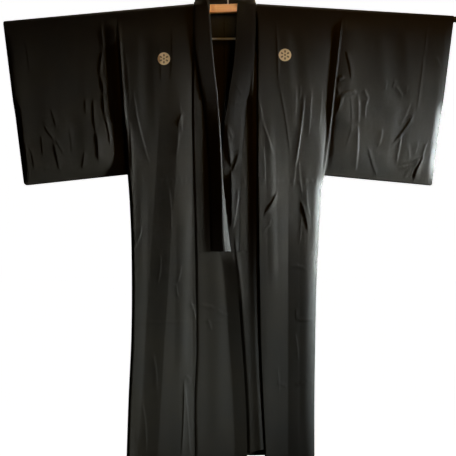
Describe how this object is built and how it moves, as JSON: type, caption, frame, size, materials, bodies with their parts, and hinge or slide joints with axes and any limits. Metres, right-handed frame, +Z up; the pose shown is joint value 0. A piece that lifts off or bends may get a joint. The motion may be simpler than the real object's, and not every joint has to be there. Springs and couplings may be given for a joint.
{
  "type": "men's black crested kimono on a wooden kimono hanger",
  "caption": "Full-length black silk kimono with round crests, hung open at the front on a wooden kimono hanger with a metal hook.",
  "frame": {"origin": "the inside top of the hanger's hook, where a rail carries it", "axes": "+Z up, -Y the front of the kimono, -X the wearer's right"},
  "size_m": [1.3909, 0.0624, 1.484],
  "materials": {
    "silk": "black plain-weave silk, soft low sheen",
    "collar_silk": "black plain-weave silk, folded double",
    "wood": "orange-brown lacquered wood",
    "dark_pipe": "dark satin paint",
    "steel": "satin plated steel"
  },
  "bodies": {
    "root": {"body_right": "silk", "okumi_right": "silk", "sleeve_right": "silk", "hanger_arm_right": "dark_pipe", "body_left": "silk", "okumi_left": "silk", "sleeve_left": "silk", "hanger_arm_left": "dark_pipe", "collar": "collar_silk", "over_collar": "collar_silk", "hanger_bar": "wood", "hanger_hook": "steel", "hanger_obi_rod": "steel"}
  },
  "joints": []
}
